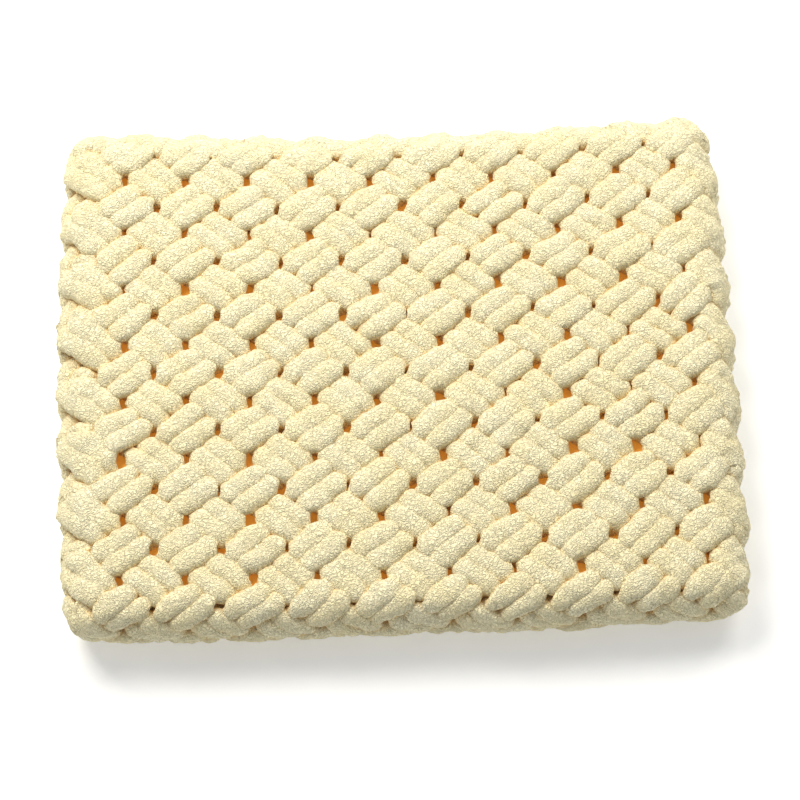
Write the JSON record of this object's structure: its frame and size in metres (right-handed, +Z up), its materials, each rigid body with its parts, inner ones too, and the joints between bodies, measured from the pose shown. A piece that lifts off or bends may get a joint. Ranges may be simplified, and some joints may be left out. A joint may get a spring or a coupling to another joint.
{
  "type": "folded chunky knit blanket",
  "caption": "Small thick throw of plush chenille yarn in a diagonal basket weave, folded in two with a big round fold along the front.",
  "frame": {"origin": "middle of the folded blanket's footprint, on the surface it rests on", "axes": "+Z up, +Y toward the back, where the cloth's two ends lie, -Y toward the fold, +X to the right as seen from the fold"},
  "size_m": [0.6364, 0.5124, 0.07],
  "materials": {
    "yarn": "plush cream chenille pile, matte"
  },
  "bodies": {
    "root": {"blanket": "yarn"}
  },
  "joints": []
}
